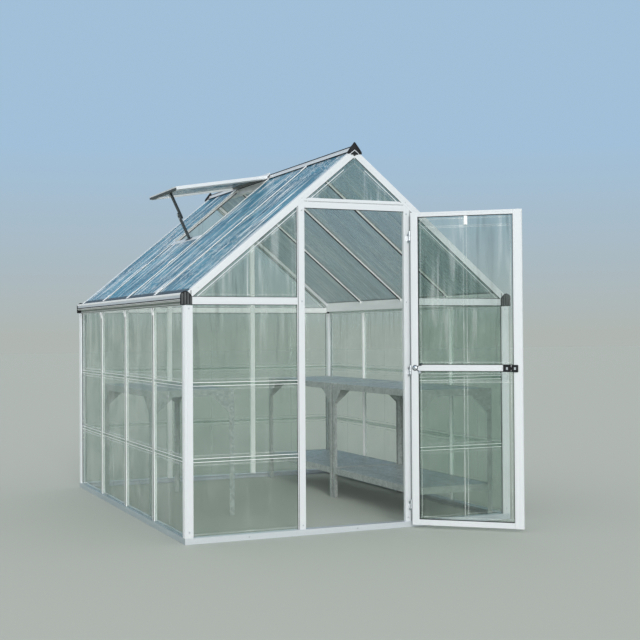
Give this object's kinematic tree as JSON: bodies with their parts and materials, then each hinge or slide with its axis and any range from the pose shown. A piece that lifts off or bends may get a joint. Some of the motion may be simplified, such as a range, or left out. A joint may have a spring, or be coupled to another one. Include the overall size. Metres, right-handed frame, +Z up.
{
  "type": "polycarbonate greenhouse",
  "caption": "Walk-in hobby greenhouse with aluminium frame, clear panels, hinged front door, open roof window and plant stands inside.",
  "frame": {"origin": "on the ground below the middle of the doorway, in the plane of the front posts' outer faces", "axes": "+X right along the front gable seen from outside, +Y from the door to the back wall, +Z up"},
  "size_m": [1.906, 2.9155, 2.045],
  "materials": {
    "aluminium_frame": "satin mill",
    "galvanised_steel": "galvanised",
    "clear_polycarbonate": "clear, glossy",
    "black_plastic": "moulded",
    "dark_grey_metal": "satin"
  },
  "bodies": {
    "frame": {"base_rail_front": "galvanised_steel", "base_rail_back": "galvanised_steel", "base_rail_left": "galvanised_steel", "base_rail_right": "galvanised_steel", "left_stand_legs": "galvanised_steel", "left_stand_shelves": "galvanised_steel", "right_stand_legs": "galvanised_steel", "right_stand_shelves": "galvanised_steel", "post_hinges": "galvanised_steel", "corner_posts": "aluminium_frame", "side_studs": "aluminium_frame", "back_studs": "aluminium_frame", "door_posts": "aluminium_frame", "door_header": "aluminium_frame", "front_rails": "aluminium_frame", "back_rails": "aluminium_frame", "gutter_left": "aluminium_frame", "gutter_right": "aluminium_frame", "front_rafters": "aluminium_frame", "back_rafters": "aluminium_frame", "roof_bars": "aluminium_frame", "ridge_beam": "aluminium_frame", "panel_joint_strips": "aluminium_frame", "vent_side_rails": "aluminium_frame", "vent_end_rails": "aluminium_frame", "vent_hinge": "aluminium_frame", "vent_sill": "aluminium_frame", "front_wall_panels": "clear_polycarbonate", "front_gable_panels": "clear_polycarbonate", "back_wall_panels": "clear_polycarbonate", "back_gable_panels": "clear_polycarbonate", "left_wall_panels": "clear_polycarbonate", "right_wall_panels": "clear_polycarbonate", "roof_panels_left": "clear_polycarbonate", "roof_panels_right": "clear_polycarbonate", "vent_panel": "clear_polycarbonate", "gutter_end_caps": "black_plastic", "ridge_end_caps": "black_plastic", "vent_arm": "dark_grey_metal"},
    "door": {"door_stiles": "aluminium_frame", "door_rails": "aluminium_frame", "door_lower_pane": "clear_polycarbonate", "door_upper_pane": "clear_polycarbonate", "door_handle": "black_plastic", "door_hinge_knuckles": "galvanised_steel"}
  },
  "joints": [
    {"name": "door_hinge", "type": "hinge", "parent": "frame", "child": "door", "pos_m": [0.30833, -0.028, 0], "axis": [0, 0, 1], "range_deg": [-138.5, 26.5]}
  ]
}
